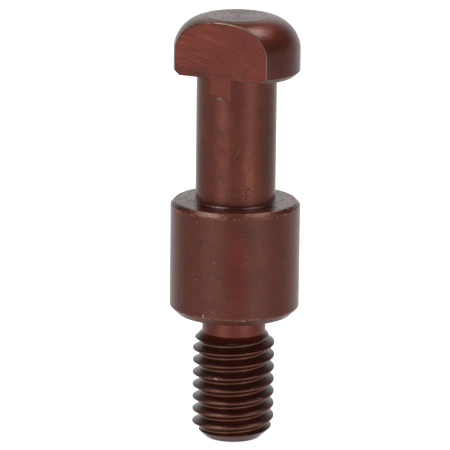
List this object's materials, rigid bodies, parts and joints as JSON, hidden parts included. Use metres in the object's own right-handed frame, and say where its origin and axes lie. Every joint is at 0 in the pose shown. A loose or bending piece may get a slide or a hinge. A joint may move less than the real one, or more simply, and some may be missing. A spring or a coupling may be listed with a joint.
{
  "type": "quick change tool post stud",
  "caption": "One-piece turned steel stud with a domed T-head and milled flats, a plain neck, a locating collar and a coarse screw thread.",
  "frame": {"origin": "centre of the end face of the thread, the lowest point of the stud standing upright", "axes": "+Z along the stud's axis from the thread to the head, +Y and -Y out of the two flats of the head, +X along the long way of the T-head"},
  "size_m": [0.0198, 0.0198, 0.0662],
  "materials": {
    "oxide_steel": "reddish-brown oxide on turned steel, semi-gloss, with turning marks and worn edges"
  },
  "bodies": {
    "root": {"tool_post_stud": "oxide_steel"}
  },
  "joints": []
}
